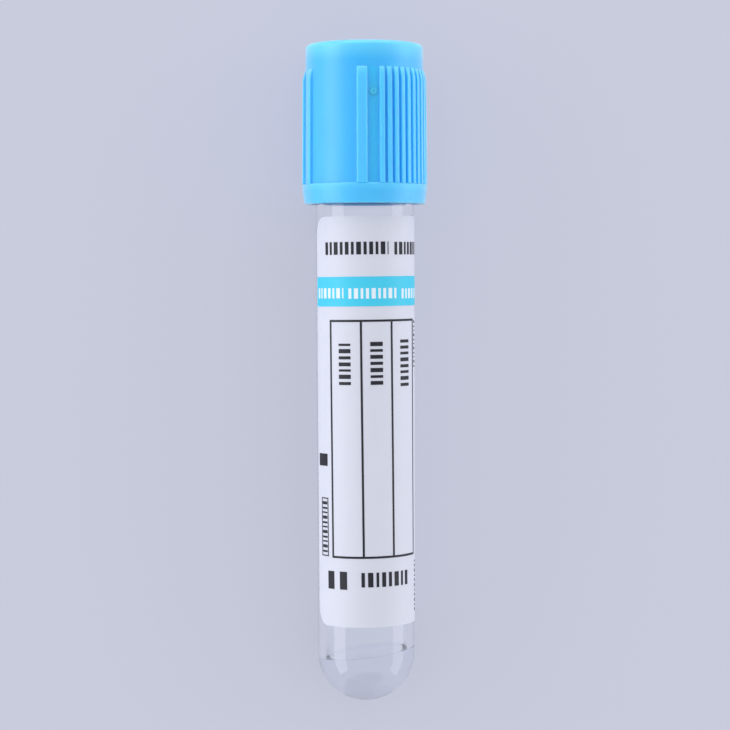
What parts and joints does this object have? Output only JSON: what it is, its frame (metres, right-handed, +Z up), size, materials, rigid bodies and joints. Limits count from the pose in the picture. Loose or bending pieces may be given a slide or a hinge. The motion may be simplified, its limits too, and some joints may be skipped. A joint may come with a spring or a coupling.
{
  "type": "blood collection tube",
  "caption": "Clear round-bottomed plastic sample tube lying on its side, with a ribbed light blue push-on closure, rubber stopper, wrapped white label and a little clear solution.",
  "frame": {"origin": "centre of the bounding box's underside, on the surface that the tube lies on", "axes": "+Y from the round end towards the closure, +Z up; the tube's own axis rises about 2 degrees towards the closure"},
  "size_m": [0.0166, 0.0873, 0.0169],
  "materials": {
    "clear_plastic": "clear, glossy, moulded",
    "cap_blue": "soft satin moulded plastic",
    "stopper_rubber": "matt",
    "label_white": "satin coated film",
    "print_blue": "satin ink",
    "print_black": "satin ink",
    "clear_solution": "clear liquid"
  },
  "bodies": {
    "tube_body": {"tube": "clear_plastic", "label": "label_white", "label_band": "print_blue", "label_ruling": "print_black", "citrate_solution": "clear_solution"},
    "closure": {"cap": "cap_blue", "stopper": "stopper_rubber"}
  },
  "joints": [
    {"name": "closure_pull", "type": "slide", "parent": "tube_body", "child": "closure", "axis": [0, 0.9996, 0.0289], "range_m": [0, 0.025]}
  ]
}
